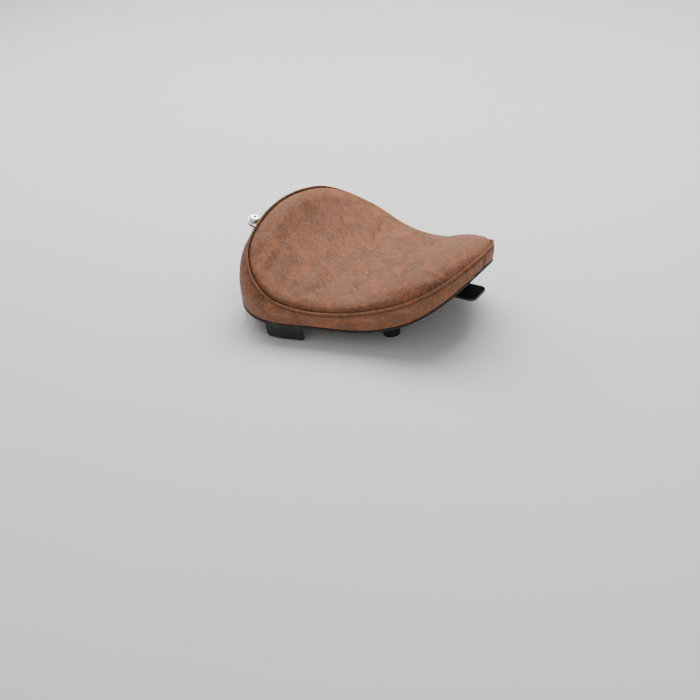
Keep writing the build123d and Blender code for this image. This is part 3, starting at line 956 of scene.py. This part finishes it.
def natural_nylon():
    f = Finish("natural_nylon", subsurface_weight=0.2)
    haze = f.noise(300, 3, 0.6)
    f.set(base_color=f.mix(haze, (0.72, 0.71, 0.66), (0.60, 0.58, 0.52)))
    f.set(roughness=haze * 0.2 + 0.35)
    f.set(normal=f.bump(haze, 0.05 * MM, 0.4))
    return f.material


def studio_floor():
    f = Finish("pale_floor", specular_ior_level=0.2)
    f.set(base_color=f.mix(f.noise(3, 3, 0.5), (0.90, 0.90, 0.90), (0.93, 0.93, 0.93)))
    f.set(roughness=0.8)
    return f.material


def paint(piece, material):
    piece.data.materials.clear()
    piece.data.materials.append(material)


# ---------------------------------------------------------------- assembly

vinyl = cover_vinyl()
thread = sewing_thread()

top = make_top()
shade(top, 60)
paint(top, vinyl)
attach(top, "seat")
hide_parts("top_panel", "foam_cushion")

for name, node, start, end in (
    ("side_cover_left", "side_band_left", 0.0, 0.5),
    ("side_cover_right", "side_band_right", 1.0, 0.5),
):
    band = make_band(name, start, end)
    shade(band, 50)
    paint(band, vinyl)
    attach(band, "seat")
    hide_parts(node)

roll = make_roll()
shade(roll, 60)
paint(roll, vinyl)
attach(roll, "seat")
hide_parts("seam_lip")

for sewn, node in ((seam_stitches(), "top_stitch_thread"), (joint_stitches(), "nose_joint_thread")):
    shade(sewn, 60)
    paint(sewn, thread)
    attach(sewn, "seat")
    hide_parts(node)

label = make_label()
shade(label, 30)
paint(label, label_rubber())
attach(label, "seat")
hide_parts("label_tab")

rubber = moulded_rubber()
zinc = zinc_plate()
chrome = polished_chrome()
carried_over = {
    "base_pan": pan_plastic(),
    "pan_carpet": lining_felt(),
    "edge_trim": rubber,
    "tab_pad": rubber,
    "rubber_foot_rear_left": rubber,
    "rubber_foot_rear_right": rubber,
    "rubber_foot_front_left": rubber,
    "rubber_foot_front_right": rubber,
    "rear_tab": bright_steel(),
    "front_tongue": powder_coat(),
    "tab_rivets": zinc,
    "tongue_rivets": zinc,
    "foot_washers": zinc,
    "foot_screws": zinc,
    "hem_staples": zinc,
    "screw_washer": chrome,
    "mounting_screw": chrome,
    "screw_retainer": natural_nylon(),
}
for node, material in carried_over.items():
    paint(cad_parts[node], material)

# ---------------------------------------------------------------- floor, light and camera

start_fresh()
bpy.ops.mesh.primitive_plane_add(size=14)
ground = named("floor")
paint(ground, studio_floor())

world = bpy.data.worlds.new("studio")
bpy.context.scene.world = world
world.use_nodes = True
world.node_tree.nodes["Background"].inputs["Color"].default_value = (1.0, 0.99, 0.975, 1)
world.node_tree.nodes["Background"].inputs["Strength"].default_value = 0.42


def soft_light(name, place, size, power, aim=(0.03, 0, 0.08)):
    lamp = bpy.data.lights.new(name, "AREA")
    lamp.shape = "RECTANGLE"
    lamp.size, lamp.size_y = size
    lamp.energy = power
    holder = bpy.data.objects.new(name, lamp)
    holder.location = place
    holder.rotation_euler = (Vector(aim) - Vector(place)).to_track_quat("-Z", "Y").to_euler()
    bpy.context.scene.collection.objects.link(holder)


soft_light("overhead", (-0.1, 0.75, 1.5), (1.5, 1.2), 35)
soft_light("front_fill", (1.6, -1.0, 1.0), (1.2, 1.2), 2)
soft_light("rear_rim", (-1.4, 0.6, 1.1), (1.0, 0.8), 13)

# The seat is seen from ahead on its right, a little nose-up
TO_CAMERA = Vector((0.5127, -0.6870, 0.5149)).normalized()
CAMERA_RIGHT = Vector((0.8325, 0.5446, -0.1022))
CAMERA_RANGE = 2.104
AIM = Vector((PLAN_X, 0, EDGE_LEVEL))
LENS = 74.08
SENSOR = 36.0
AIM_ACROSS = 0.0476
AIM_UP = 0.0896


def make_camera():
    """The camera looks past the seat, so that the seat stands a little right of and above the middle."""
    right = (CAMERA_RIGHT - TO_CAMERA * CAMERA_RIGHT.dot(TO_CAMERA)).normalized()
    up = TO_CAMERA.cross(right)
    facing = Matrix((right, up, TO_CAMERA)).transposed()
    off_axis = Vector((AIM_ACROSS * SENSOR / LENS, AIM_UP * SENSOR / LENS, -1)).normalized()
    turn = off_axis.rotation_difference(Vector((0, 0, -1))).to_matrix()
    data = bpy.data.cameras.new("camera")
    data.lens = LENS
    data.sensor_width = SENSOR
    data.clip_start = 0.05
    data.clip_end = 60
    camera = bpy.data.objects.new("camera", data)
    camera.matrix_world = Matrix.Translation(AIM + TO_CAMERA * CAMERA_RANGE) @ (facing @ turn).to_4x4()
    bpy.context.scene.collection.objects.link(camera)
    bpy.context.scene.camera = camera


make_camera()
